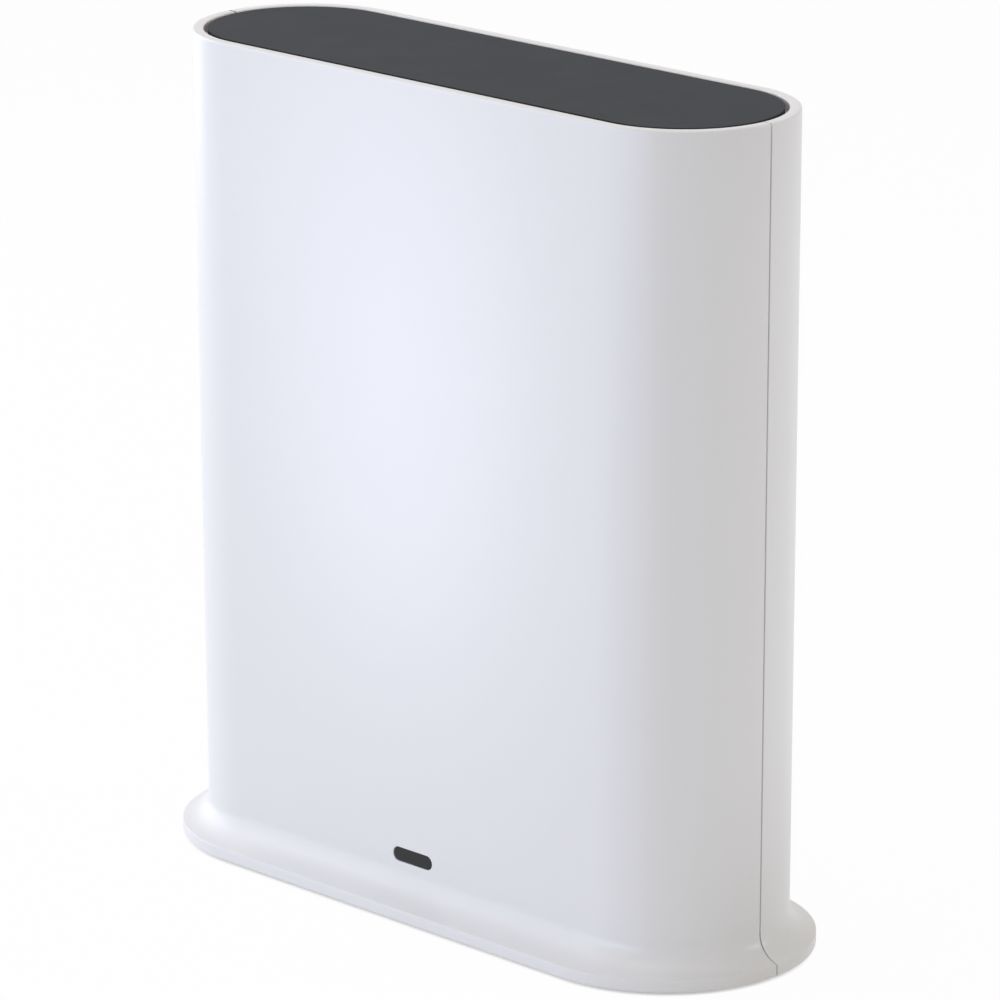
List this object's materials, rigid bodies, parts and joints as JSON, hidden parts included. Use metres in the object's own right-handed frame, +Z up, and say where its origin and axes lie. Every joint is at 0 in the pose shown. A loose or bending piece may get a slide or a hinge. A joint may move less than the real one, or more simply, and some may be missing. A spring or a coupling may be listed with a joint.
{
  "type": "security camera base station",
  "caption": "Slim upright white base station on a flared foot, with a dark inset top panel, a front light window, and rear network, storage and power ports with a sync button.",
  "frame": {"origin": "on the table, under the middle of the foot", "axes": "+Z up, -Y towards the front face with the light window, +X to the right seen from the front"},
  "size_m": [0.157, 0.06, 0.1708],
  "materials": {
    "white_shell": "satin moulded ABS",
    "dark_panel": "fine matte texture",
    "grey_base": "fine matte texture",
    "rubber": "matte",
    "screw_steel": "zinc plated",
    "smoked_window": "polished smoked polycarbonate",
    "clear_pipe": "polished clear acrylic",
    "led_lens": "moulded epoxy",
    "green_board": "solder mask over glass epoxy",
    "chip_black": "moulded epoxy",
    "thermal_silicone": "soft silicone",
    "sink_aluminium": "extruded and anodised",
    "white_nylon": "moulded nylon",
    "tinned_steel": "stamped and tinned",
    "gilt_brass": "gold flashed",
    "connector_black": "moulded glass-filled nylon",
    "connector_white": "moulded polyester",
    "button_grey": "satin moulded ABS",
    "sleeve_blue": "shrunk sleeve",
    "ferrite": "pressed powder"
  },
  "bodies": {
    "housing": {"front_shell": "white_shell", "rear_shell": "white_shell", "top_panel": "dark_panel", "base_plate": "grey_base", "rubber_feet": "rubber", "base_screws": "screw_steel", "light_window": "smoked_window", "light_pipe": "clear_pipe", "status_led": "led_lens", "main_board": "green_board", "board_screws": "screw_steel", "processor": "chip_black", "memory_chips": "chip_black", "flash_chip": "chip_black", "thermal_pad": "thermal_silicone", "heat_sink": "sink_aluminium", "heat_sink_pins": "white_nylon", "radio_chips": "chip_black", "shield_frames": "tinned_steel", "shield_lids": "tinned_steel", "left_antenna": "gilt_brass", "right_antenna": "gilt_brass", "lan_jack": "connector_black", "lan_contacts": "gilt_brass", "lan_transformer": "chip_black", "usb_shell": "tinned_steel", "usb_tongue": "connector_white", "usb_contacts": "gilt_brass", "dc_jack": "connector_black", "dc_pin": "gilt_brass", "dc_spring": "gilt_brass", "sync_switch": "connector_black", "reset_switch": "connector_black", "capacitors": "sleeve_blue", "inductors": "ferrite", "crystal": "tinned_steel"},
    "sync_button": {"sync_button": "button_grey"},
    "sync_plunger": {"sync_plunger": "white_nylon"},
    "reset_plunger": {"reset_plunger": "white_nylon"}
  },
  "joints": [
    {"name": "sync_press", "type": "slide", "parent": "housing", "child": "sync_button", "axis": [0, -1, 0], "range_m": [0, 0.0004], "stiffness_N_per_m": 3000},
    {"name": "sync_plunger_press", "type": "slide", "parent": "housing", "child": "sync_plunger", "axis": [0, -1, 0], "range_m": [0, 0.0004]},
    {"name": "reset_press", "type": "slide", "parent": "housing", "child": "reset_plunger", "axis": [0, -1, 0], "range_m": [0, 0.0003], "stiffness_N_per_m": 3000}
  ],
  "couplings": [
    {"joint": "sync_plunger_press", "follows": "sync_press", "ratio": 1}
  ]
}
